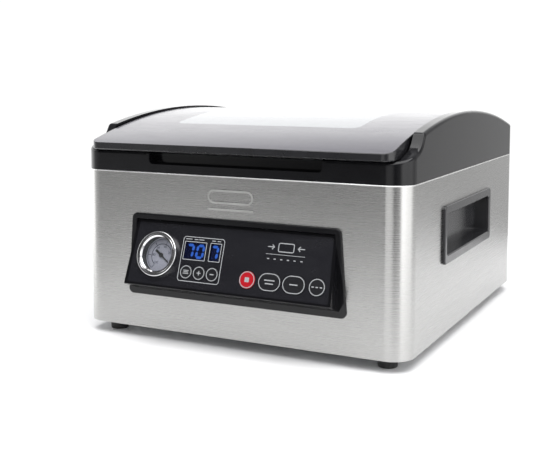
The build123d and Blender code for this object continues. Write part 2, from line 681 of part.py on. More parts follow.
with BuildPart() as chamber_pan:
    with BuildSketch(Plane.XY.offset(CHAMBER_FLOOR - SHEET)):
        plan_rectangle(CHAMBER_HALF + SHEET, CHAMBER_FRONT - SHEET, CHAMBER_REAR + SHEET, CHAMBER_R + SHEET)
    extrude(amount=DECK_TOP + SHEET - CHAMBER_FLOOR + SHEET)
    fillet(chamber_pan.edges().group_by(Axis.Z)[0], PAN_FILLET + SHEET)
    with BuildSketch(Plane.XY.offset(DECK_TOP)):
        plan_rectangle(CHAMBER_HALF + FLANGE, CHAMBER_FRONT - FLANGE, CHAMBER_REAR + FLANGE,
                       CHAMBER_R + FLANGE)
    extrude(amount=SHEET)
    add(chamber_hollow.part, mode=Mode.SUBTRACT)
    with BuildSketch(Plane.XY.offset(CHAMBER_FLOOR - SHEET)):
        with Locations((LIFTER_X, back(SEAL_DEPTH)), (-LIFTER_X, back(SEAL_DEPTH)),
                       (SUCTION_HOLE[0], back(SUCTION_HOLE[1]))):
            Circle(4)
    extrude(amount=2 * SHEET, mode=Mode.SUBTRACT)
save(chamber_pan, "chamber_pan")

with BuildPart() as filler_plate:
    with BuildSketch(Plane.XY.offset(CHAMBER_FLOOR)):
        plan_rectangle(120, 84, 318, 10)
    extrude(amount=8)
    fillet(filler_plate.edges().group_by(Axis.Z)[-1], 2)
    with BuildSketch(Plane.XY.offset(CHAMBER_FLOOR + 6.5)):
        with Locations((0, back(201))):
            with GridLocations(48, 20, 1, 10):
                SlotOverall(190, 4)
    extrude(amount=4, mode=Mode.SUBTRACT)
save(filler_plate, "filler_plate")

ROD_R = 3.0

with BuildPart() as seal_bar_lifters:
    lifter_places = [(x, back(SEAL_DEPTH)) for x in (-LIFTER_X, LIFTER_X)]
    with BuildSketch(Plane.XY.offset(CHAMBER_FLOOR)):
        with Locations(*lifter_places):
            Circle(6.5)
    extrude(amount=38)
    chamfer(seal_bar_lifters.edges().group_by(Axis.Z)[-1], 1)
    with BuildSketch(Plane.XY.offset(CHAMBER_FLOOR - 12)):
        with Locations(*lifter_places):
            Circle(4)
    extrude(amount=12)
    with BuildSketch(Plane.XY.offset(CHAMBER_FLOOR + 2)):
        with Locations(*lifter_places):
            Circle(ROD_R + RUNNING)
    extrude(amount=40, mode=Mode.SUBTRACT)
save(seal_bar_lifters, "seal_bar_lifters")

with BuildPart() as seal_bar:
    bar_bottom = SEAL_TOP - 18
    with BuildSketch(Plane.XY.offset(bar_bottom)):
        with Locations((0, back(SEAL_DEPTH))):
            RectangleRounded(2 * SEAL_HALF, SEAL_WIDTH, 2)
    extrude(amount=17.6)
    with BuildSketch(Plane.XY.offset(CHAMBER_FLOOR + 16)):
        with Locations(*lifter_places):
            Circle(ROD_R)
    extrude(amount=bar_bottom - CHAMBER_FLOOR - 16)
save(seal_bar, "seal_bar")

with BuildPart() as sealing_wire:
    with BuildSketch(Plane.XY.offset(SEAL_TOP - 0.4)):
        with Locations((0, back(SEAL_DEPTH))):
            Rectangle(2 * SEAL_HALF - 2, 10)
    extrude(amount=0.15)
    with BuildSketch(Plane.XY.offset(SEAL_TOP - 0.25)):
        with Locations((0, back(SEAL_DEPTH))):
            Rectangle(2 * SEAL_HALF - 8, 3.5)
    extrude(amount=0.25)
save(sealing_wire, "sealing_wire")


# ---- Lid ----------------------------------------------------------------------------------------

KNUCKLE_X = 110.0
KNUCKLE_HALF = 15.0
KNUCKLE_R = 4.5
EAR = 2.5
HINGE = Plane(origin=(0, back(HINGE_DEPTH), HINGE_Z), x_dir=(0, 1, 0), z_dir=(1, 0, 0))


def lid_outline(mode=Mode.ADD):
    """The lid's plan outline: round corners in front, tighter ones behind."""
    plan_rectangle(LID_HALF, LID_FRONT, LID_REAR, LID_CORNER_R, mode)


def panel_outline(mode=Mode.ADD):
    """The plan outline of the sheet that lies in the lid's rim."""
    plan_rectangle(LID_HALF - LID_RIM, LID_FRONT + LID_RIM, PANEL_REAR, LID_CORNER_R - LID_RIM, mode)


def gasket_ring():
    """The plan outline of the gasket and its groove."""
    plan_rectangle(GASKET_HALF, GASKET_FRONT, GASKET_REAR, GASKET_R)
    plan_rectangle(GASKET_HALF - GASKET_WIDTH, GASKET_FRONT + GASKET_WIDTH, GASKET_REAR - GASKET_WIDTH,
                   GASKET_R - GASKET_WIDTH, mode=Mode.SUBTRACT)


with BuildPart() as panel_space:
    with BuildSketch(Plane.XY.offset(LID_BOTTOM - 5)):
        panel_outline()
    extrude(amount=60)
    lid_cylinder(LID_R - LID_SHEET, Mode.SUBTRACT)

with BuildPart() as lid_frame:
    with BuildSketch(Plane.XY.offset(LID_BOTTOM)):
        lid_outline()
    extrude(amount=60)
    lid_cylinder(LID_R, Mode.INTERSECT)
    chamfer(lid_frame.edges().group_by(Axis.Z)[0], 1.2)
    top_face = lid_frame.faces().filter_by(GeomType.CYLINDER).sort_by(Axis.Z)[-1]
    chamfer(top_face.edges(), LID_CHAMFER)
    add(panel_space.part, mode=Mode.SUBTRACT)
    # hollow between the sheet and the flange
    with BuildSketch(Plane.XY.offset(LID_FLANGE_TOP)):
        plan_rectangle(LID_HALF - 4, 16, 376, 8)
    extrude(amount=60, mode=Mode.SUBTRACT)
    # opening over the chamber
    with BuildSketch(Plane.XY.offset(LID_BOTTOM)):
        plan_rectangle(146, 50, 337, 5)
    extrude(amount=60, mode=Mode.SUBTRACT)
    # groove for the gasket
    with BuildSketch(Plane.XY.offset(LID_BOTTOM)):
        gasket_ring()
    extrude(amount=GROOVE_DEPTH, mode=Mode.SUBTRACT)
    # hinge knuckles, with room for the bracket ears
    for side in (-1, 1):
        with Locations((side * KNUCKLE_X, back(HINGE_DEPTH) + 2, HINGE_Z)):
            Box(2 * (KNUCKLE_HALF + EAR + 1), 20, 40, mode=Mode.SUBTRACT)
        with BuildSketch(HINGE.offset(side * KNUCKLE_X - KNUCKLE_HALF)):
            Circle(KNUCKLE_R)
            with Locations((-7, 1.4)):
                Rectangle(14, 5)
            Circle(PIN_R + RUNNING, mode=Mode.SUBTRACT)
        extrude(amount=2 * KNUCKLE_HALF)
save(lid_frame, "lid_frame")

with BuildPart() as lid_panel:
    with BuildSketch(Plane.XY.offset(LID_BOTTOM - 5)):
        panel_outline()
        plan_rectangle(WINDOW_HALF, WINDOW_FRONT, WINDOW_REAR, 9, mode=Mode.SUBTRACT)
    extrude(amount=60)
    lid_cylinder(LID_R, Mode.INTERSECT)
    lid_cylinder(LID_R - LID_SHEET, Mode.SUBTRACT)
save(lid_panel, "lid_panel")

with BuildPart() as lid_window:
    with BuildSketch(Plane.XY.offset(LID_BOTTOM - 5)):
        plan_rectangle(WINDOW_HALF, WINDOW_FRONT, WINDOW_REAR, 9)
    extrude(amount=60)
    lid_cylinder(LID_R, Mode.INTERSECT)
    lid_cylinder(LID_R - LID_SHEET, Mode.SUBTRACT)
save(lid_window, "lid_window")

with BuildPart() as lid_gasket:
    with BuildSketch(Plane.XY.offset(DECK_TOP + SHEET + GAP)):
        gasket_ring()
    extrude(amount=LID_BOTTOM + GROOVE_DEPTH - DECK_TOP - SHEET - GAP)
    fillet(lid_gasket.edges().group_by(Axis.Z)[0], 1.5)
save(lid_gasket, "lid_gasket")

STRIP_BOTTOM = SEAL_TOP + SEAL_LIFT + 0.8
STRIP_H = 8.0
STRIP_WIDTH = 10.0
HOLDER_GROOVE = 3.0            # how deep the strip sits in its holder
HOLDER_WALL = 2.5

with BuildPart() as press_strip:
    with BuildSketch(Plane.XY.offset(STRIP_BOTTOM)):
        with Locations((0, back(SEAL_DEPTH))):
            Rectangle(2 * SEAL_HALF - 6, STRIP_WIDTH)
    extrude(amount=STRIP_H)
    fillet(press_strip.edges().filter_by(Axis.X).group_by(Axis.Z)[0], 1.5)
save(press_strip, "press_strip")

with BuildPart() as press_strip_holder:
    with BuildSketch(Plane.YZ):
        with Locations((back(SEAL_DEPTH), STRIP_BOTTOM + STRIP_H)):
            Rectangle(STRIP_WIDTH + 2 * HOLDER_WALL, 4 * HOLDER_GROOVE)
        with Locations((back(SEAL_DEPTH), STRIP_BOTTOM + STRIP_H - HOLDER_GROOVE)):
            Rectangle(STRIP_WIDTH, 2 * HOLDER_GROOVE, mode=Mode.SUBTRACT)
    extrude(amount=SEAL_HALF + 2, both=True)
save(press_strip_holder, "press_strip_holder")

with BuildPart() as lid_magnet:
    with BuildSketch(Plane.XY.offset(LID_FLANGE_TOP)):
        with Locations((150, back(120))):
            Circle(4)
    extrude(amount=4)
save(lid_magnet, "lid_magnet")


# ---- Hinge --------------------------------------------------------------------------------------

with BuildPart() as hinge_brackets:
    ear_x = KNUCKLE_HALF + 0.5
    for side in (-1, 1):
        for edge in (-1, 1):
            start = side * KNUCKLE_X + edge * ear_x - (EAR if edge < 0 else 0)
            with BuildSketch(HINGE.offset(start)):
                Circle(KNUCKLE_R)
                with Locations((0, (TROUGH_FLOOR - HINGE_Z) / 2)):
                    Rectangle(2 * KNUCKLE_R, HINGE_Z - TROUGH_FLOOR)
                Circle(PIN_R, mode=Mode.SUBTRACT)
            extrude(amount=EAR)
        with BuildSketch(Plane.XY.offset(TROUGH_FLOOR)):
            with Locations((side * KNUCKLE_X, back(HINGE_DEPTH))):
                Rectangle(2 * (ear_x + EAR), 2 * KNUCKLE_R)
        extrude(amount=2)
save(hinge_brackets, "hinge_brackets")

with BuildPart() as hinge_pins:
    for side in (-1, 1):
        with BuildSketch(HINGE.offset(side * KNUCKLE_X - ear_x - EAR)):
            Circle(PIN_R)
        extrude(amount=2 * (ear_x + EAR))
save(hinge_pins, "hinge_pins")

with BuildPart() as lid_sensor:
    with BuildSketch(Plane.XY.offset(DECK_TOP - WALL - 8)):
        with Locations((161, back(120))):
            RectangleRounded(10, 26, 1)
    extrude(amount=8)
save(lid_sensor, "lid_sensor")


# ---- Rear: power inlet, rocker switch, fan ------------------------------------------------------

COVER_OUTSIDE = REAR_Y - SHEET


def rear_plane(place, height=0.0):
    """A plane on the outside of the rear cover, facing backwards, at x and z."""
    return Plane(origin=(place[0], COVER_OUTSIDE + height, place[1]), x_dir=(-1, 0, 0), z_dir=(0, 1, 0))


with BuildPart() as power_inlet:
    with BuildSketch(rear_plane(INLET)):
        RectangleRounded(48, 26, 4)
        with GridLocations(40, 26, 2, 1):
            Circle(1.7, mode=Mode.SUBTRACT)
    extrude(amount=REAR_REACH + SHEET)
    with BuildSketch(rear_plane(INLET)):
        RectangleRounded(28, 20, 3)
    extrude(amount=-24)
    with BuildSketch(rear_plane(INLET, REAR_REACH + SHEET)) as socket:
        Rectangle(24, 16)
        chamfer(socket.vertices().group_by(Axis.Y)[-1], 4)
    extrude(amount=-20, mode=Mode.SUBTRACT)
    with BuildSketch(rear_plane(INLET, REAR_REACH + SHEET - 20)):
        with Locations((-7, -1.5), (0, 2.5), (7, -1.5)):
            Rectangle(2, 4)
    extrude(amount=15)
save(power_inlet, "power_inlet")

ROCKER_PIVOT = -1.5            # behind the rear cover's outside
ROCKER_AXLE_R = 1.0

with BuildPart() as rocker_frame:
    with BuildSketch(rear_plane(ROCKER)):
        RectangleRounded(22, 16, 1.5)
    extrude(amount=1.6)
    with BuildSketch(rear_plane(ROCKER)):
        Rectangle(19, 13)
    extrude(amount=-16)
    with BuildSketch(rear_plane(ROCKER, 1.6)):
        Rectangle(16.4, 10.4)
    extrude(amount=-14, mode=Mode.SUBTRACT)
    with BuildSketch(Plane.XY.offset(ROCKER[1] - 6)):
        with Locations((ROCKER[0], COVER_OUTSIDE + ROCKER_PIVOT)):
            Circle(ROCKER_AXLE_R)
    extrude(amount=12)
save(rocker_frame, "rocker_frame")

with BuildPart() as power_rocker:
    with BuildSketch(Plane.XY.offset(ROCKER[1] - 4.8)):
        with BuildLine(Location((ROCKER[0], COVER_OUTSIDE + ROCKER_PIVOT))):
            Polyline((-6.6, -2.6), (6.6, -2.6), (7.0, 1.3), (0, 2.6), (-6.6, 4.1), close=True)
        make_face()
        with Locations((ROCKER[0], COVER_OUTSIDE + ROCKER_PIVOT)):
            Circle(ROCKER_AXLE_R + RUNNING, mode=Mode.SUBTRACT)
    extrude(amount=9.6)
save(power_rocker, "power_rocker")

with BuildPart() as fan_frame:
    with BuildSketch(rear_plane(FAN, -SHEET)):
        RectangleRounded(FAN_SIZE, FAN_SIZE, 4)
        Circle(FAN_SIZE / 2 - 1.5, mode=Mode.SUBTRACT)
        with GridLocations(50, 50, 2, 2):
            Circle(2.1, mode=Mode.SUBTRACT)
    extrude(amount=-20)
    with BuildSketch(rear_plane(FAN, -SHEET - 17)):
        Circle(12)
        for turn in (45, 135):
            Rectangle(FAN_SIZE, 5, rotation=turn)
    extrude(amount=-3)
    with BuildSketch(rear_plane(FAN, -SHEET - 17)):
        Circle(1.5)
    extrude(amount=12)
save(fan_frame, "fan_frame")

with BuildPart() as fan_rotor:
    with BuildSketch(rear_plane(FAN, -SHEET - 15)):
        Circle(12)
        Circle(1.5 + RUNNING, mode=Mode.SUBTRACT)
    extrude(amount=12)
    with Locations(rear_plane(FAN, -SHEET - 9)):
        with PolarLocations(18.5, 7):
            Box(15.4, 12, 1.4, rotation=(38, 0, 0))
    with BuildSketch(rear_plane(FAN, -SHEET - 15.5)):
        Circle(FAN_SIZE / 2 - 3)
        Circle(1.5 + RUNNING, mode=Mode.SUBTRACT)
    extrude(amount=14, mode=Mode.INTERSECT)
save(fan_rotor, "fan_rotor")


# ---- Pump, valves and electrics -----------------------------------------------------------------

MOUNT_H = 10.0
PLATE_Z = FLOOR + MOUNT_H
PUMP_Y = back(255)
PUMP_Z = PLATE_Z + 40
PUMP = Plane(origin=(0, PUMP_Y, PUMP_Z), x_dir=(0, 1, 0), z_dir=(1, 0, 0))
HEAD_X = 59.0
HOSE_Z = PUMP_Z + 35
PORT_REACH = 30.0              # how far the heads' ports stand out behind the pump's axis
MOUNT_PLACES = [(x, PUMP_Y + y) for x in (-68, 68) for y in (-36, 36)]

with BuildPart() as pump_mounts:
    with BuildSketch(Plane.XY.offset(FLOOR)):
        with Locations(*MOUNT_PLACES):
            Circle(7)
    extrude(amount=MOUNT_H)
save(pump_mounts, "pump_mounts")

with BuildPart() as pump_plate:
    with BuildSketch(Plane.XY.offset(PLATE_Z)):
        with Locations((0, PUMP_Y)):
            RectangleRounded(156, 92, 6)
    extrude(amount=2)
    with BuildSketch(Plane.XY.offset(PLATE_Z + 2)):
        with Locations((-30, PUMP_Y), (30, PUMP_Y)):
            Rectangle(6, 50)
    extrude(amount=14)
    with BuildSketch(PUMP.offset(-40)):
        Circle(32)
    extrude(amount=80, mode=Mode.SUBTRACT)
save(pump_plate, "pump_plate")

with BuildPart() as pump_motor:
    with BuildSketch(PUMP.offset(-44)):
        Circle(32)
    extrude(amount=88)
    with BuildSketch(PUMP.offset(-36)):
        Circle(34)
        Circle(32, mode=Mode.SUBTRACT)
        with Locations((0, -34)):
            Rectangle(70, 30, mode=Mode.SUBTRACT)
    extrude(amount=72)
save(pump_motor, "pump_motor")

with BuildPart() as pump_heads:
    for side in (-1, 1):
        start = 44 if side > 0 else -74
        with BuildSketch(PUMP.offset(start)):
            RectangleRounded(56, 56, 8)
        extrude(amount=30)
        with BuildSketch(Plane.XY.offset(PUMP_Z + 28)):
            with Locations((side * HEAD_X, PUMP_Y)):
                RectangleRounded(28, 44, 4)
        extrude(amount=14)
        with BuildSketch(Plane.XZ.offset(-PUMP_Y - PORT_REACH + 8)):
            with Locations((side * HEAD_X, HOSE_Z)):
                Circle(3)
        extrude(amount=-8)
save(pump_heads, "pump_heads")

TRANSFORMER = (-108.0, back(160))

with BuildPart() as transformer_core:
    with BuildSketch(Plane.XY.offset(FLOOR)):
        with Locations(TRANSFORMER):
            Rectangle(78, 34)
    extrude(amount=62)
    with BuildSketch(Plane.XZ.offset(-TRANSFORMER[1] + 20)):
        with Locations((TRANSFORMER[0] - 19.5, FLOOR + 31), (TRANSFORMER[0] + 19.5, FLOOR + 31)):
            Rectangle(13, 38)
    extrude(amount=-40, mode=Mode.SUBTRACT)
save(transformer_core, "transformer_core")

with BuildPart() as transformer_coil:
    with BuildSketch(Plane.XY.offset(FLOOR + 12)):
        with Locations(TRANSFORMER):
            RectangleRounded(52, 58, 8)
            Rectangle(26, 34, mode=Mode.SUBTRACT)
    extrude(amount=38)
save(transformer_coil, "transformer_coil")

VALVE_PLACES = [(x, back(334)) for x in (-118, -84)]
VALVE_LOW = 60.0
VALVE_H = 30.0

with BuildPart() as solenoid_valves:
    for place in VALVE_PLACES:
        with BuildSketch(Plane.XY.offset(VALVE_LOW)):
            with Locations(place):
                RectangleRounded(24, 24, 3)
        extrude(amount=VALVE_H)
        with BuildSketch(Plane.XY.offset(VALVE_LOW + VALVE_H)):
            with Locations(place):
                Circle(7)
        extrude(amount=8)
        with BuildSketch(Plane.XY.offset(FLOOR)):
            with Locations((place[0], place[1] + 10)):
                Rectangle(14, 2)
        extrude(amount=VALVE_LOW - FLOOR)
save(solenoid_valves, "solenoid_valves")

HOSE_R = 4.0

with BuildPart() as vacuum_hose:
    hose_x, hose_y = SUCTION_HOLE[0], back(SUCTION_HOLE[1])
    port = (hose_x, hose_y, CHAMBER_FLOOR - SHEET)
    with BuildLine():
        FilletPolyline(port, (hose_x, hose_y, HOSE_Z), (HEAD_X, hose_y, HOSE_Z),
                       (HEAD_X, PUMP_Y + PORT_REACH, HOSE_Z), radius=9)
    with BuildSketch(Plane(origin=port, z_dir=(0, 0, -1))):
        Circle(HOSE_R)
    sweep()
save(vacuum_hose, "vacuum_hose")

BOARD = (98.0, back(110))

with BuildPart() as board_standoffs:
    with BuildSketch(Plane.XY.offset(FLOOR)):
        with Locations(BOARD):
            with GridLocations(96, 84, 2, 2):
                RegularPolygon(3, 6)
    extrude(amount=10)
save(board_standoffs, "board_standoffs")

with BuildPart() as power_board:
    with BuildSketch(Plane.XY.offset(FOOT_H + 11.5)):
        with Locations(BOARD):
            RectangleRounded(106, 94, 2)
    extrude(amount=1.6)
save(power_board, "power_board")

with BuildPart() as board_components:
    with BuildSketch(Plane.XY.offset(FOOT_H + 13.1)):
        with Locations((BOARD[0] - 36, BOARD[1] - 28), (BOARD[0] - 14, BOARD[1] - 28)):
            Rectangle(19, 15.5)
    extrude(amount=15.5)
    with BuildSketch(Plane.XY.offset(FOOT_H + 13.1)):
        with Locations((BOARD[0] + 30, BOARD[1] - 26), (BOARD[0] + 30, BOARD[1] + 4)):
            Circle(9)
    extrude(amount=26)
    with BuildSketch(Plane.XY.offset(FOOT_H + 13.1)):
        with Locations((BOARD[0] - 26, BOARD[1] + 14)):
            Rectangle(40, 4)
            with GridLocations(8, 0, 5, 1):
                Rectangle(1.5, 20)
    extrude(amount=24)
save(board_components, "board_components")
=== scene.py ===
"""Looks of the vacuum chamber sealer: studio, materials, prints and fine pieces on its frame."""
import json
import math

import bmesh
import bpy
from mathutils import Matrix, Vector


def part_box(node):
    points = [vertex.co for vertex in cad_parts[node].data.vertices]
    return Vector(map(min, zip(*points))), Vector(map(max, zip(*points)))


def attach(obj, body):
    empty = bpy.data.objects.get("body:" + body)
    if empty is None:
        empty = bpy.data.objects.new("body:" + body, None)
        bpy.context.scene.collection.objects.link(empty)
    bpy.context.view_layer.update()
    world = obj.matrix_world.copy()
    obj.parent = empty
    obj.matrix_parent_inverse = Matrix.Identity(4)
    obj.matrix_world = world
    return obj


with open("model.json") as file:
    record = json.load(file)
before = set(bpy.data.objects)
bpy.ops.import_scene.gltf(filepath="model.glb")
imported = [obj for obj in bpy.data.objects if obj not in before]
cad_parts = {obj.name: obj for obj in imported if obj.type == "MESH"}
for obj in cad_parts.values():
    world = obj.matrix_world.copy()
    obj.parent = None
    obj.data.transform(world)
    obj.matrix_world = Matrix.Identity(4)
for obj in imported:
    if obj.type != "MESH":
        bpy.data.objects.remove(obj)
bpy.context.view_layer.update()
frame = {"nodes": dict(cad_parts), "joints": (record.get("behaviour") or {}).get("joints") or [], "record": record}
nodes = frame["nodes"]
joints = {joint["name"]: joint for joint in frame["joints"]}

MM = 0.001
INK = 0.06                      # thickness of printed marks, in millimetres


# ---- The control panel's own axes: x to the right, s down the slope, n out of the face ----------

GAUGE_X, GAUGE_S, NEEDLE_N = -79.3, 29.6, -5.4
FACE_N = -0.5                   # the printed face lies this far below the slope's plane
NORMAL = Vector(joints["needle_turn"]["axis"]).normalized()
UP_SLOPE = NORMAL.cross(Vector((1, 0, 0)))
NEEDLE_PIVOT = Vector(joints["needle_turn"]["pos_m"])


def panel_point(x, s, n):
    """A point in metres from millimetres along the control panel's axes."""
    return (NEEDLE_PIVOT + Vector((x - GAUGE_X, 0, 0)) * MM + UP_SLOPE * (GAUGE_S - s) * MM
            + NORMAL * (n - NEEDLE_N) * MM)


def panel_matrix(x, s, n):
    """A matrix that puts a flat shape, drawn in millimetres, on the panel at (x, s, n)."""
    rotation = Matrix(((1, 0, 0), UP_SLOPE, NORMAL)).transposed().to_4x4()
    return Matrix.Translation(panel_point(x, s, n)) @ rotation @ Matrix.Scale(MM, 4)


# ---- Camera -------------------------------------------------------------------------------------

HOUSING_LOW, HOUSING_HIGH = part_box("steel_housing")
HOUSING_MID_Y = (HOUSING_HIGH.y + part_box("top_housing")[0].y) / 2

# metres to the right of the housing's middle, in front of it, and above the floor
CAMERA_RIGHT, CAMERA_BEFORE, CAMERA_HEIGHT = 0.4491, 1.00261, 0.27482
CAMERA_YAW, CAMERA_PITCH = math.radians(26.77), math.radians(5.32)
SENSOR_WIDTH, FOCAL_LENGTH = 36, 62.03193       # in millimetres
VERTICAL_SHIFT = -0.1181818                     # in sensor widths

camera_data = bpy.data.cameras.new("camera")
camera_data.sensor_width = SENSOR_WIDTH
camera_data.lens = FOCAL_LENGTH
camera_data.shift_y = VERTICAL_SHIFT
camera = bpy.data.objects.new("camera", camera_data)
camera.location = (CAMERA_RIGHT, HOUSING_MID_Y - CAMERA_BEFORE, CAMERA_HEIGHT)
camera.rotation_euler = (math.pi / 2 - CAMERA_PITCH, 0, CAMERA_YAW)
bpy.context.scene.collection.objects.link(camera)
bpy.context.scene.camera = camera


# ---- Kinds of material --------------------------------------------------------------------------

NOISE_SPREAD = 0.25             # noise this far from its middle value gives the ends of a range

materials = {}


def shader_of(material):
    return material.node_tree.nodes["Principled BSDF"]


def new_material(name, color, roughness, metallic=0.0, **extra):
    """Make a material with constant values and keep it by name; extra is for more sockets."""
    material = bpy.data.materials.new(name)
    material.use_nodes = True
    shader = shader_of(material)
    shader.inputs["Base Color"].default_value = (*color, 1)
    shader.inputs["Roughness"].default_value = roughness
    shader.inputs["Metallic"].default_value = metallic
    for socket, value in extra.items():
        shader.inputs[socket.replace("_", " ")].default_value = value
    materials[name] = material
    return material


def noise(material, scale, stretch=(1, 1, 1), detail=3.0, distortion=0.0):
    """Noise over the object's own coordinates; stretch multiplies the frequency along each axis."""
    tree = material.node_tree
    coordinates = tree.nodes.new("ShaderNodeTexCoord")
    mapping = tree.nodes.new("ShaderNodeMapping")
    mapping.inputs["Scale"].default_value = stretch
    texture = tree.nodes.new("ShaderNodeTexNoise")
    texture.inputs["Scale"].default_value = scale
    texture.inputs["Detail"].default_value = detail
    texture.inputs["Distortion"].default_value = distortion
    tree.links.new(coordinates.outputs["Object"], mapping.inputs["Vector"])
    tree.links.new(mapping.outputs[0], texture.inputs["Vector"])
    return texture.outputs["Fac"]


def vary(material, socket, source, low, high):
    """Drive a numeric socket from noise, between low and high."""
    tree = material.node_tree
    span = tree.nodes.new("ShaderNodeMapRange")
    span.inputs["From Min"].default_value = 0.5 - NOISE_SPREAD
    span.inputs["From Max"].default_value = 0.5 + NOISE_SPREAD
    span.inputs["To Min"].default_value = low
    span.inputs["To Max"].default_value = high
    tree.links.new(source, span.inputs["Value"])
    tree.links.new(span.outputs[0], shader_of(material).inputs[socket])


def tint(material, source, first, second):
    """Drive the base colour from noise, between two colours."""
    tree = material.node_tree
    ramp = tree.nodes.new("ShaderNodeValToRGB")
    ramp.color_ramp.elements[0].position = 0.5 - NOISE_SPREAD
    ramp.color_ramp.elements[0].color = (*first, 1)
    ramp.color_ramp.elements[1].position = 0.5 + NOISE_SPREAD
    ramp.color_ramp.elements[1].color = (*second, 1)
    tree.links.new(source, ramp.inputs[0])
    tree.links.new(ramp.outputs[0], shader_of(material).inputs["Base Color"])


def bump(material, source, strength, distance):
    """Raise the surface by noise; distance is in metres. A second call lies on top of the first."""
    tree = material.node_tree
    relief = tree.nodes.new("ShaderNodeBump")
    relief.inputs["Strength"].default_value = strength
    relief.inputs["Distance"].default_value = distance
    tree.links.new(source, relief.inputs["Height"])
    normal = shader_of(material).inputs["Normal"]
    if normal.is_linked:
        tree.links.new(normal.links[0].from_socket, relief.inputs["Normal"])
    tree.links.new(relief.outputs[0], normal)


def scaled(color, factor):
    return tuple(channel * factor for channel in color)


def brushed_metal(name, color, roughness, stretch, anisotropy=0.6, axis="Z"):
    """Metal with a fine straight grain: stretch is small along the grain and large across it."""
    material = new_material(name, color, roughness, 1.0, Anisotropic=anisotropy,
                            Anisotropic_Rotation=0.25)
    tree = material.node_tree
    tangent = tree.nodes.new("ShaderNodeTangent")
    tangent.direction_type = "RADIAL"
    tangent.axis = axis
    tree.links.new(tangent.outputs[0], shader_of(material).inputs["Tangent"])
    grain = noise(material, 40, stretch, detail=4)
    tint(material, grain, scaled(color, 0.97), scaled(color, 1.03))
    vary(material, "Roughness", grain, roughness - 0.02, roughness + 0.04)
    bump(material, grain, 0.015, 0.00002)
    bump(material, noise(material, 6), 0.01, 0.002)


def moulded_plastic(name, color, roughness, texture=0.15, grain_scale=1400.0, shine=0.5):
    """Moulded plastic with a fine spark-eroded texture and slight unevenness of gloss."""
    material = new_material(name, color, roughness, Specular_IOR_Level=shine)
    bump(material, noise(material, grain_scale, detail=2), texture, 0.00006)
    vary(material, "Roughness", noise(material, 22, detail=4), roughness - 0.05, roughness + 0.06)
    tint(material, noise(material, 60, detail=3), scaled(color, 0.85), scaled(color, 1.2))


def glossy_plastic(name, color, roughness):
    """Smooth plastic with faint waviness and hand-wiped streaks in its gloss."""
    material = new_material(name, color, roughness)
    bump(material, noise(material, 9, detail=1), 0.03, 0.001)
    vary(material, "Roughness", noise(material, 30, (1, 3, 3), detail=5, distortion=0.6),
         max(roughness - 0.03, 0.02), roughness + 0.07)
    tint(material, noise(material, 120, detail=2), scaled(color, 0.96), scaled(color, 1.03))


def plated_metal(name, color, roughness, grain_scale=260.0):
    """Plated or cast metal with a fine even grain and cloudy gloss."""
    material = new_material(name, color, roughness, 1.0)
    bump(material, noise(material, grain_scale, detail=5), 0.15, 0.0001)
    vary(material, "Roughness", noise(material, 45, detail=4), roughness - 0.08, roughness + 0.1)
    tint(material, noise(material, 30, detail=4), scaled(color, 0.88), scaled(color, 1.08))


def moulded_rubber(name, color, roughness):
    """Soft rubber: dull, with a fine grain and dusty patches."""
    material = new_material(name, color, roughness, Sheen_Weight=0.15, Sheen_Roughness=0.5)
    bump(material, noise(material, 900, detail=3), 0.2, 0.00008)
    tint(material, noise(material, 80, detail=5), color, scaled(color, 1.5))
    vary(material, "Roughness", noise(material, 50, detail=3), roughness - 0.08,
         min(roughness + 0.08, 1))


def tinted_glass(name, color, alpha):
    """A thin clear or tinted pane."""
    roughness = 0.04
    material = new_material(name, color, roughness, Alpha=alpha)
    vary(material, "Roughness", noise(material, 60, detail=4), roughness * 0.6, roughness * 1.6)
    bump(material, noise(material, 12, detail=1), 0.02, 0.0005)


def glowing(name, color, strength):
    """A lit display segment, a little brighter in patches like a diffuser over lamps."""
    material = new_material(name, scaled(color, 0.4), 0.4)
    shader = shader_of(material)
    shader.inputs["Emission Color"].default_value = (*color, 1)
    vary(material, "Emission Strength", noise(material, 220, detail=1), strength * 0.85,
         strength * 1.15)


def woven_tape(name, first, second):
    """Brown release tape with the cross weave of its glass cloth."""
    material = new_material(name, first, 0.45)
    tree = material.node_tree
    coordinates = tree.nodes.new("ShaderNodeTexCoord")
    checks = tree.nodes.new("ShaderNodeTexChecker")
    checks.inputs["Scale"].default_value = 1600
    tree.links.new(coordinates.outputs["Object"], checks.inputs["Vector"])
    tint(material, noise(material, 90, detail=4), first, second)
    bump(material, checks.outputs["Fac"], 0.25, 0.00008)


def circuit_board_green():
    """Solder mask with darker copper traces showing through as a fine blocky pattern."""
    material = new_material("circuit_board", (0.01, 0.12, 0.05), 0.35)
    tree = material.node_tree
    coordinates = tree.nodes.new("ShaderNodeTexCoord")
    tracks = tree.nodes.new("ShaderNodeTexBrick")
    tracks.inputs["Scale"].default_value = 60
    tracks.inputs["Color1"].default_value = (0.008, 0.10, 0.04, 1)
    tracks.inputs["Color2"].default_value = (0.015, 0.15, 0.06, 1)
    tracks.inputs["Mortar"].default_value = (0.03, 0.22, 0.08, 1)
    tree.links.new(coordinates.outputs["Object"], tracks.inputs["Vector"])
    tree.links.new(tracks.outputs["Color"], shader_of(material).inputs["Base Color"])
    bump(material, tracks.outputs["Fac"], 0.2, 0.0001)


# ---- Studio: floor, backdrop light and lamps ----------------------------------------------------

bpy.context.scene.view_settings.view_transform = "Standard"

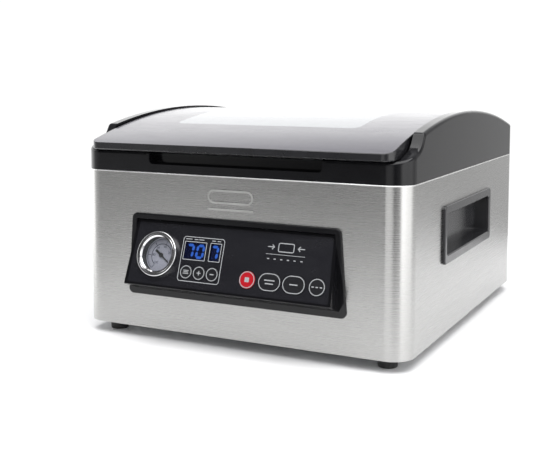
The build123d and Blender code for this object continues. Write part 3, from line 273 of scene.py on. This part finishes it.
# light that comes from round the horizon: degrees from -Y towards +X, and brightness
WALL = ((-180, 1.5), (-160, 1.65), (-140, 1.8), (-88, 2.2), (-66, 0.7), (-42, 0.08), (-19, 0.06),
        (-6, 0.8), (8, 0.7), (26, 0.08), (46, 0.3), (66, 2.5), (104, 2.1), (136, 0.5), (162, 0.45),
        (176, 1.3))
GROUND = ((-180, 0.7), (-140, 1.6), (-88, 2.2), (-66, 0.9), (-42, 0.56), (-31, 0.54), (-26, 0.24),
          (-20, 0.2), (-7, 1.1), (8, 1.0), (26, 0.1), (46, 0.4), (66, 2.5), (104, 2.0), (136, 0.72),
          (164, 0.55), (180, 0.7))
CEILING = (0.42, 0.42, 0.44, 1)
# where the ground goes over into the wall, and the wall into the ceiling, as sines of the elevation
HORIZON, COVE = (-0.06, 0.02), (0.42, 0.6)
BACKDROP = 1.05                 # brightness of what the camera itself sees behind the object


def studio_world():
    """A white studio, bright behind and at the sides and dark on the camera's side."""
    world = bpy.data.worlds.new("studio")
    bpy.context.scene.world = world
    world.use_nodes = True
    tree = world.node_tree
    tree.nodes.clear()
    new, link = tree.nodes.new, tree.links.new
    coordinates = new("ShaderNodeTexCoord")
    split = new("ShaderNodeSeparateXYZ")
    link(coordinates.outputs["Generated"], split.inputs[0])
    flip = new("ShaderNodeMath")
    flip.operation = "MULTIPLY"
    flip.inputs[1].default_value = -1
    link(split.outputs["Y"], flip.inputs[0])
    azimuth = new("ShaderNodeMath")
    azimuth.operation = "ARCTAN2"
    link(split.outputs["X"], azimuth.inputs[0])
    link(flip.outputs[0], azimuth.inputs[1])
    turn = new("ShaderNodeMapRange")
    turn.inputs["From Min"].default_value = -math.pi
    turn.inputs["From Max"].default_value = math.pi
    link(azimuth.outputs[0], turn.inputs["Value"])

    def ring(stops):
        """Brightness by azimuth, as a ramp over one turn."""
        ramp = new("ShaderNodeValToRGB")
        ramp.color_ramp.interpolation = "EASE"
        elements = ramp.color_ramp.elements
        while len(elements) < len(stops):
            elements.new(0.5)
        for element, (degrees, brightness) in zip(elements, stops):
            element.position = (degrees + 180) / 360
            element.color = (brightness, brightness, brightness, 1)
        link(turn.outputs[0], ramp.inputs[0])
        return ramp.outputs[0]

    def blend(low, high, first, second):
        """Go over from the first to the second between two sines of the elevation."""
        height = new("ShaderNodeMapRange")
        height.interpolation_type = "SMOOTHSTEP"
        height.inputs["From Min"].default_value = low
        height.inputs["From Max"].default_value = high
        link(split.outputs["Z"], height.inputs["Value"])
        mix = new("ShaderNodeMix")
        mix.data_type = "RGBA"
        link(height.outputs[0], mix.inputs["Factor"])
        link(first, mix.inputs["A"])
        if isinstance(second, tuple):
            mix.inputs["B"].default_value = second
        else:
            link(second, mix.inputs["B"])
        return mix.outputs["Result"]

    around = blend(*HORIZON, ring(GROUND), ring(WALL))
    studio = new("ShaderNodeBackground")
    link(blend(*COVE, around, CEILING), studio.inputs["Color"])
    white = new("ShaderNodeBackground")
    white.inputs["Color"].default_value = (1, 1, 1, 1)
    white.inputs["Strength"].default_value = BACKDROP
    path = new("ShaderNodeLightPath")
    choose = new("ShaderNodeMixShader")
    link(path.outputs["Is Camera Ray"], choose.inputs[0])
    link(studio.outputs[0], choose.inputs[1])
    link(white.outputs[0], choose.inputs[2])
    output = new("ShaderNodeOutputWorld")
    link(choose.outputs[0], output.inputs["Surface"])


def softbox(name, location, target, width, height, power):
    """A rectangular lamp that looks at a target; lengths are in metres, power in watts."""
    lamp = bpy.data.lights.new(name, "AREA")
    lamp.shape = "RECTANGLE"
    lamp.size, lamp.size_y, lamp.energy = width, height, power
    holder = bpy.data.objects.new(name, lamp)
    bpy.context.scene.collection.objects.link(holder)
    holder.location = location
    direction = Vector(target) - Vector(location)
    holder.rotation_euler = direction.to_track_quat("-Z", "Y").to_euler()


FLOOR_RADIUS, FLOOR_SEGMENTS = 0.6, 96


def floor():
    """A pale round table top under the object."""
    mesh = bpy.data.meshes.new("floor")
    shape = bmesh.new()
    bmesh.ops.create_circle(shape, cap_ends=True, segments=FLOOR_SEGMENTS, radius=FLOOR_RADIUS)
    shape.to_mesh(mesh)
    shape.free()
    paper = new_material("floor_paper", (0.92, 0.92, 0.92), 0.9, Specular_IOR_Level=0.1)
    mesh.materials.append(paper)
    table = bpy.data.objects.new("floor", mesh)
    bpy.context.scene.collection.objects.link(table)


studio_world()
softbox("overhead", location=(0.3, -0.4, 1.5), target=(0, 0, 0), width=2.0, height=1.8, power=42)
floor()


# ---- Materials ----------------------------------------------------------------------------------

BLACK = (0.005, 0.005, 0.006)
INK_WHITE = (0.36, 0.37, 0.38)

brushed_metal("brushed_housing", (0.455, 0.453, 0.445), 0.26, (0.3, 0.3, 130), anisotropy=0.9)
# a much brighter copy of the housing steel for the hem bead: painted highlight along the sheet's upper edge
plated_metal("hem_painted_highlight_steel", (0.85, 0.85, 0.84), 0.4, 900)
plated_metal("badge_steel", (0.6, 0.6, 0.59), 0.36, 900)
brushed_metal("chamber_steel", (0.56, 0.56, 0.56), 0.3, (2, 2, 60), anisotropy=0.3)
moulded_plastic("black_moulding", BLACK, 0.13, texture=0.03, shine=0.3)
# a lighter copy of the black moulding for the handle cups: painted light in their dark recesses
moulded_plastic("cup_painted_light_moulding", (0.022, 0.022, 0.024), 0.2, texture=0.05)
moulded_plastic("lid_moulding", (0.014, 0.014, 0.016), 0.16, texture=0.04)
glossy_plastic("lid_grey", (0.115, 0.112, 0.125), 0.14)
glossy_plastic("lid_window", (0.24, 0.25, 0.26), 0.1)
glossy_plastic("gloss_black", (0.011, 0.011, 0.014), 0.22)
glossy_plastic("black_key", (0.009, 0.009, 0.011), 0.3)
glossy_plastic("red_key", (0.4, 0.004, 0.012), 0.3)
tinted_glass("display_glass", (0.005, 0.008, 0.04), 0.35)
moulded_plastic("display_black", (0.004, 0.006, 0.03), 0.4)
plated_metal("chrome", (0.78, 0.78, 0.79), 0.12)
glossy_plastic("dial_white", (0.37, 0.38, 0.45), 0.5)
glossy_plastic("needle_black", (0.006, 0.006, 0.007), 0.45)
tinted_glass("clear_glass", (0.3, 0.32, 0.33), 0.04)
moulded_rubber("rubber", (0.012, 0.012, 0.012), 0.75)
moulded_rubber("silicone", (0.45, 0.46, 0.47), 0.5)
moulded_plastic("white_plastic", (0.75, 0.75, 0.74), 0.5)
brushed_metal("aluminium", (0.7, 0.7, 0.71), 0.35, (1, 40, 40), axis="X")
woven_tape("seal_tape", (0.22, 0.12, 0.05), (0.32, 0.19, 0.09))
plated_metal("zinc_sheet", (0.5, 0.51, 0.52), 0.38)
plated_metal("zinc_steel", (0.6, 0.6, 0.61), 0.28)
moulded_plastic("black_sheet", (0.014, 0.014, 0.015), 0.45, texture=0.3, grain_scale=500)
moulded_plastic("inner_plastic", (0.016, 0.016, 0.017), 0.42)
glossy_plastic("component_plastic", (0.02, 0.02, 0.025), 0.3)
circuit_board_green()
plated_metal("brass", (0.7, 0.5, 0.2), 0.3)
brushed_metal("copper", (0.6, 0.28, 0.12), 0.35, (1, 1, 40))
plated_metal("iron", (0.14, 0.14, 0.15), 0.6)
plated_metal("cast_aluminium", (0.5, 0.51, 0.52), 0.5, 140)
moulded_rubber("clear_hose", (0.5, 0.52, 0.52), 0.4)
glossy_plastic("print", INK_WHITE, 0.45)
glossy_plastic("dial_print", (0.008, 0.01, 0.03), 0.6)
glowing("digits", (0.04, 0.16, 0.72), 0.85)

# nodes given a lighter copy of their slot's material: painted light inside the handle cups
PAINTED_LIGHT_LOOKS = {"handle_cup_left": "cup_painted_light_moulding", "handle_cup_right": "cup_painted_light_moulding"}

for part in frame["record"]["subparts"]:
    mesh = nodes[part["node"]].data
    mesh.materials.clear()
    mesh.materials.append(materials[PAINTED_LIGHT_LOOKS.get(part["node"], part["material_slot"])])


# ---- Flat shapes --------------------------------------------------------------------------------

def rounded(width, height, radius, steps=8):
    """A rounded rectangle's outline, centred on the origin."""
    points = []
    for quarter, (sx, sy) in enumerate(((1, 1), (-1, 1), (-1, -1), (1, -1))):
        for step in range(steps + 1):
            angle = math.pi / 2 * (quarter + step / steps)
            points.append((sx * (width / 2 - radius) + radius * math.cos(angle),
                           sy * (height / 2 - radius) + radius * math.sin(angle)))
    return points


def moved(points, x, y):
    return [(px + x, py + y) for px, py in points]


def bar(x0, y0, x1, y1, width):
    """A straight stroke's outline between two points."""
    dx, dy = x1 - x0, y1 - y0
    length = math.hypot(dx, dy)
    ox, oy = -dy / length * width / 2, dx / length * width / 2
    return [(x0 + ox, y0 + oy), (x0 - ox, y0 - oy), (x1 - ox, y1 - oy), (x1 + ox, y1 + oy)]


def join_rings(shape, first, second):
    """Add the faces between two closed rings with equally many vertices."""
    for i in range(len(first)):
        j = (i + 1) % len(first)
        shape.faces.new((first[i], first[j], second[j], second[i]))


def add_plate(shape, outline, matrix, thickness, base=0.0):
    """Add a closed plate with this outline to a bmesh, from base up by thickness."""
    low = [shape.verts.new(matrix @ Vector((x, y, base))) for x, y in outline]
    high = [shape.verts.new(matrix @ Vector((x, y, base + thickness))) for x, y in outline]
    shape.faces.new(list(reversed(low)))
    shape.faces.new(high)
    join_rings(shape, low, high)


def add_band(shape, outer, inner, matrix, thickness):
    """Add a closed band between two outlines with equally many points."""
    corners = ((outer, 0), (outer, thickness), (inner, thickness), (inner, 0))
    rings = [[shape.verts.new(matrix @ Vector((x, y, height))) for x, y in outline]
             for outline, height in corners]
    for first, second in zip(rings, rings[1:] + rings[:1]):
        join_rings(shape, first, second)


def piece(name, shape, material, body):
    """Turn a bmesh into an object that rides on a body and belongs to a material slot."""
    bmesh.ops.recalc_face_normals(shape, faces=shape.faces)
    mesh = bpy.data.meshes.new(name)
    shape.to_mesh(mesh)
    shape.free()
    mesh.materials.append(materials[material])
    item = bpy.data.objects.new(name, mesh)
    bpy.context.scene.collection.objects.link(item)
    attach(item, body)


# ---- Prints on the control panel ----------------------------------------------------------------

LINE, FINE_LINE = 0.75, 0.7     # widths of the printed outlines
STROKE = 0.95                   # width of the strokes on the round keys

# x, s, width and height
PRINTED_FRAME = (-29.2, 31.0, 47.5, 44.9)
DISPLAYS = ((-37.9, 22.7, 23.8, 17.0), (-14.9, 22.5, 11.4, 17.0))
LONG_KEYS = {"key_vacuum_seal": (48.7, 45.2, 24.3, 18.0), "key_seal": (74.1, 45.2, 24.2, 18.0)}
# x, s and diameter
ROUND_KEYS = {"key_set": (-43.8, 44.1, 14.2), "key_plus": (-29.0, 44.1, 14.2),
              "key_minus": (-14.2, 44.1, 14.2), "key_cancel": (24.8, 45.2, 17.4),
              "key_marinate": (97.9, 45.1, 17.2)}
DISPLAY_MARGIN = 1.6            # how much larger than its display a printed outline is
KEY_MARGIN = 1.4                # how much smaller than its key a printed ring is
KEY_TOP_N = 0.1

LEGEND_S = 11.2
LEGENDS = ((-46.5, 7.5), (-38.0, 4.5), (-32.0, 6.0), (-18.0, 4.5), (-12.0, 4.0))    # x and length
MARK_X, MARK_S, RULE_S, DOTS_S = 61, 11.4, 18.4, 22.9
MARK_LINE, RULE_LINE = 0.9, 0.45
POUCH_WIDTH, POUCH_HEIGHT, POUCH_RADIUS = 17, 9, 2.0
ARROW_TAIL, ARROW_TIP = 19.5, 12.5                      # distances from the mark's middle
HEAD_TAIL, HEAD_HALF, HEAD_LAP = 14.8, 2.3, 0.2
RULE_HALF, DOTS, DOT_PITCH = 20.5, 6, 7


def dash(length, height=1.1):
    """A short horizontal bar with rounded ends."""
    return rounded(length, height, height / 2 - 0.05, 3)


def frame_print(shape, width, height, radius, matrix, line=LINE):
    """Print the outline of a rounded rectangle."""
    add_band(shape, rounded(width, height, radius),
             rounded(width - 2 * line, height - 2 * line, max(radius - line, 0.05)), matrix, INK)


def pouch_mark(shape):
    """A pouch between arrows that point inwards, over a thin rule and a row of dots."""
    mark = panel_matrix(MARK_X, MARK_S, FACE_N)
    frame_print(shape, POUCH_WIDTH, POUCH_HEIGHT, POUCH_RADIUS, mark, MARK_LINE)
    for side in (-1, 1):
        shaft = bar(side * ARROW_TAIL, 0, side * ARROW_TIP, 0, MARK_LINE)
        add_plate(shape, shaft, mark, INK)
        # the two halves of the arrow's head lie on top of the shaft and of each other
        for layer, up in ((1, 1), (2, -1)):
            tip = side * (ARROW_TIP - HEAD_LAP)
            half = bar(side * HEAD_TAIL, up * HEAD_HALF, tip, -up * HEAD_LAP, MARK_LINE)
            add_plate(shape, half, mark, INK, layer * INK)
    rule = bar(-RULE_HALF, 0, RULE_HALF, 0, RULE_LINE)
    add_plate(shape, rule, panel_matrix(MARK_X, RULE_S, FACE_N), INK)
    for i in range(DOTS):
        x = MARK_X + DOT_PITCH * (i - (DOTS - 1) / 2)
        add_plate(shape, dash(2.4, 1.0), panel_matrix(x, DOTS_S, FACE_N), INK)


def panel_print():
    """Outlines round the displays, legends as plain dashes, and a generic pouch mark."""
    shape = bmesh.new()
    x, s, width, height = PRINTED_FRAME
    frame_print(shape, width, height, 3.2, panel_matrix(x, s, FACE_N))
    for x, s, width, height in DISPLAYS:
        frame_print(shape, width + DISPLAY_MARGIN, height + DISPLAY_MARGIN, 0.9,
                    panel_matrix(x, s, FACE_N), FINE_LINE)
    for x, length in LEGENDS:
        add_plate(shape, dash(length, 0.8), panel_matrix(x, LEGEND_S, FACE_N), INK)
    pouch_mark(shape)
    piece("panel_print", shape, "print", "base")


def key_print(key, x, s, width, height, strokes):
    """A ring round a key cap's edge and the strokes of its icon."""
    shape = bmesh.new()
    matrix = panel_matrix(x, s, KEY_TOP_N)
    width, height = width - KEY_MARGIN, height - KEY_MARGIN
    radius = height / 2 - 0.001
    add_band(shape, rounded(width, height, radius, 12),
             rounded(width - 2 * LINE, height - 2 * LINE, radius - LINE, 12), matrix, INK)
    for stroke in strokes:
        add_plate(shape, stroke, matrix, INK)
    piece(key + "_print", shape, "print", key)


def key_prints():
    """Plain icons: bars for the words of the original, a plus, a minus and a stop square."""
    level = bar(-2.2, 0, 2.2, 0, STROKE)
    icons = {
        "key_set": [moved(dash(length, 0.8), 0, up)
                    for length, up in ((6.4, 1.5), (5.2, 0), (6.4, -1.5))],
        "key_plus": [level, bar(0, 0.5, 0, 2.2, STROKE), bar(0, -0.5, 0, -2.2, STROKE)],
        "key_minus": [level],
        "key_cancel": [rounded(4.6, 4.6, 0.6, 3)],
        "key_marinate": [moved(dash(2.6), across, 0) for across in (-4.2, 0, 4.2)],
        "key_vacuum_seal": [moved(dash(11), 0, 1.6), moved(dash(9), 0, -1.6)],
        "key_seal": [dash(8.5)],
    }
    for key, (x, s, diameter) in ROUND_KEYS.items():
        key_print(key, x, s, diameter, diameter, icons[key])
    for key, (x, s, width, height) in LONG_KEYS.items():
        key_print(key, x, s, width, height, icons[key])


# which segments are lit: top, upper left and right, middle, lower left and right, bottom
SEGMENTS = {"0": "1110111", "7": "1010010"}
DIGITS = (("7", -45.0, 22.7), ("0", -33.2, 22.7), ("7", -17.2, 22.5))       # digit, x and s
DIGIT_WIDTH, DIGIT_HEIGHT, DIGIT_STROKE, DIGIT_GAP = 9.6, 14.6, 2.7, 0.25
DIGIT_LEAN = 0.09               # sideways by height
DIGIT_N, DIGIT_THICK = -3.0, 0.15


def digit_outlines(digit):
    """The lit segments of one digit, as pointed bars, leaning slightly."""
    w, h, g = (DIGIT_WIDTH - DIGIT_STROKE) / 2, (DIGIT_HEIGHT - DIGIT_STROKE) / 2, DIGIT_GAP
    lines = [(-w + g, h, w - g, h), (-w, g, -w, h - g), (w, g, w, h - g), (-w + g, 0, w - g, 0),
             (-w, -h + g, -w, -g), (w, -h + g, w, -g), (-w + g, -h, w - g, -h)]
    outlines = []
    for lit, (x0, y0, x1, y1) in zip(SEGMENTS[digit], lines):
        if lit == "0":
            continue
        dx, dy = x1 - x0, y1 - y0
        length = math.hypot(dx, dy)
        ux, uy, half = dx / length, dy / length, DIGIT_STROKE / 2
        corners = [(x0, y0), (x0 + ux * half - uy * half, y0 + uy * half + ux * half),
                   (x1 - ux * half - uy * half, y1 - uy * half + ux * half), (x1, y1),
                   (x1 - ux * half + uy * half, y1 - uy * half - ux * half),
                   (x0 + ux * half + uy * half, y0 + uy * half - ux * half)]
        outlines.append([(x + DIGIT_LEAN * y, y) for x, y in corners])
    return outlines


def display_digits():
    """Lit digits that stand just proud of the display modules, behind the tinted windows."""
    shape = bmesh.new()
    for digit, x, s in DIGITS:
        for outline in digit_outlines(digit):
            add_plate(shape, outline, panel_matrix(x, s, DIGIT_N), DIGIT_THICK)
    piece("display_digits", shape, "digits", "base")


# ---- Steel front: badge and hem -----------------------------------------------------------------

BADGE_X, BADGE_Z, BADGE_BAR_Z = -1.5, 153, 140.5
BADGE_WIDTH, BADGE_HEIGHT, BADGE_STROKE = 50.8, 13.8, 1.8
BADGE_RADIUS = BADGE_HEIGHT / 2 - 0.1
BADGE_BAR_HEIGHT, BADGE_BAR_RADIUS = 2.0, 0.9


def badge_faces():
    """Polished faces of the steel front's raised badge: a frame over a bar."""
    shape = bmesh.new()

    def facing(z):
        place = Matrix.Translation((BADGE_X * MM, HOUSING_LOW.y, z * MM))
        return place @ Matrix.Rotation(math.pi / 2, 4, "X") @ Matrix.Scale(MM, 4)

    frame_print(shape, BADGE_WIDTH, BADGE_HEIGHT, BADGE_RADIUS, facing(BADGE_Z), BADGE_STROKE)
    line = rounded(BADGE_WIDTH, BADGE_BAR_HEIGHT, BADGE_BAR_RADIUS)
    add_plate(shape, line, facing(BADGE_BAR_Z), INK)
    piece("badge_faces", shape, "badge_steel", "base")


HOUSING_CORNER, CORNER_STEPS = 22 * MM, 12
HEM_REAR_GAP = 30 * MM          # the hem stops this far before the rear face
HEM_BELOW, HEM_HIGH = 0.1, 1.1  # it lies between these depths below the sheet's upper edge
HEM_PROUD, HEM_SUNK = 0.45, 0.5


def sheet_hem():
    """A slim bead at the steel sheet's folded upper edge, round front and sides, in a much brighter steel: a
    painted highlight line.
    """
    half, top = HOUSING_HIGH.x, HOUSING_HIGH.z
    front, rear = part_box("top_housing")[0].y, HOUSING_HIGH.y - HEM_REAR_GAP
    path = [(-half, rear, Vector((-1, 0)))]
    for centre_x, start in ((HOUSING_CORNER - half, 180), (half - HOUSING_CORNER, 270)):
        for step in range(CORNER_STEPS + 1):
            angle = math.radians(start + 90 * step / CORNER_STEPS)
            outward = Vector((math.cos(angle), math.sin(angle)))
            path.append((centre_x + outward.x * HOUSING_CORNER,
                         front + HOUSING_CORNER + outward.y * HOUSING_CORNER, outward))
    path.append((half, rear, Vector((1, 0))))
    # how far out and how far below the sheet's top each point of the bead's section lies
    section = ((-HEM_SUNK, HEM_BELOW), (-HEM_SUNK, HEM_HIGH), (0, HEM_HIGH),
               (HEM_PROUD * 0.8, HEM_HIGH * 0.95), (HEM_PROUD, HEM_HIGH * 0.8),
               (HEM_PROUD * 0.8, HEM_HIGH * 0.5), (0.05, HEM_BELOW))
    shape = bmesh.new()
    rings = [[shape.verts.new((x + outward.x * out * MM, y + outward.y * out * MM, top - down * MM))
              for out, down in section] for x, y, outward in path]
    for first, second in zip(rings, rings[1:]):
        join_rings(shape, first, second)
    shape.faces.new(rings[0])
    shape.faces.new(list(reversed(rings[-1])))
    piece("sheet_hem", shape, "hem_painted_highlight_steel", "base")


# ---- Gauge --------------------------------------------------------------------------------------

DIAL_N, DIAL_INK = -6.4, 0.03
DIAL_START, DIAL_SWEEP = -35, 270
ARCS = ((16.6, 0.45), (11.6, 0.7))                      # radius and width
ARC_STEPS = 72
TICKS = 50
TICK_END = 16.2                                         # radii in millimetres
LONG_TICK_START, MIDDLE_TICK_START, SHORT_TICK_START = 12.2, 14.6, 15.2
LONG_TICK_WIDTH, SHORT_TICK_WIDTH = 0.55, 0.28
NUMBERS = ("0", "20", "40", "60", "80", "100")
NUMBER_SIZE, NUMBER_RADIUS = 3.6, 9.2


def on_dial(radius, part):
    """A point of the dial at this part of the scale, from 0 to 1."""
    angle = math.radians(DIAL_START + DIAL_SWEEP * part)
    return radius * math.cos(angle), radius * math.sin(angle)


def dial_print():
    """Scale of the vacuum gauge: two arcs with long, middle and short ticks."""
    shape = bmesh.new()
    matrix = panel_matrix(GAUGE_X, GAUGE_S, DIAL_N)
    for radius, width in ARCS:
        outer, inner = ([on_dial(edge, i / ARC_STEPS) for i in range(ARC_STEPS + 1)]
                        for edge in (radius + width / 2, radius - width / 2))
        for i in range(ARC_STEPS):
            add_plate(shape, [outer[i], outer[i + 1], inner[i + 1], inner[i]], matrix, DIAL_INK)
    for i in range(TICKS + 1):
        start, width = SHORT_TICK_START, SHORT_TICK_WIDTH
        if i % 10 == 0:
            start, width = LONG_TICK_START, LONG_TICK_WIDTH
        elif i % 5 == 0:
            start = MIDDLE_TICK_START
        tick = bar(*on_dial(start, i / TICKS), *on_dial(TICK_END, i / TICKS), width)
        add_plate(shape, tick, matrix, DIAL_INK, DIAL_INK)
    piece("dial_print", shape, "dial_print", "base")


def dial_numbers():
    """Numbers of the scale, as flat letters turned into a mesh."""
    shape = bmesh.new()
    for i, text in enumerate(NUMBERS):
        curve = bpy.data.curves.new("number", "FONT")
        curve.body = text
        curve.size = NUMBER_SIZE
        curve.align_x, curve.align_y = "CENTER", "CENTER"
        curve.extrude = DIAL_INK / 2
        holder = bpy.data.objects.new("number", curve)
        bpy.context.scene.collection.objects.link(holder)
        bpy.context.view_layer.update()
        evaluated = holder.evaluated_get(bpy.context.evaluated_depsgraph_get())
        mesh = bpy.data.meshes.new_from_object(evaluated)
        x, y = on_dial(NUMBER_RADIUS, i / (len(NUMBERS) - 1))
        mesh.transform(panel_matrix(GAUGE_X, GAUGE_S, DIAL_N) @ Matrix.Translation((x, y, 0.05)))
        shape.from_mesh(mesh)
        bpy.data.objects.remove(holder)
        bpy.data.meshes.remove(mesh)
    piece("dial_numbers", shape, "dial_print", "base")


panel_print()
key_prints()
badge_faces()
sheet_hem()
display_digits()
dial_print()
dial_numbers()
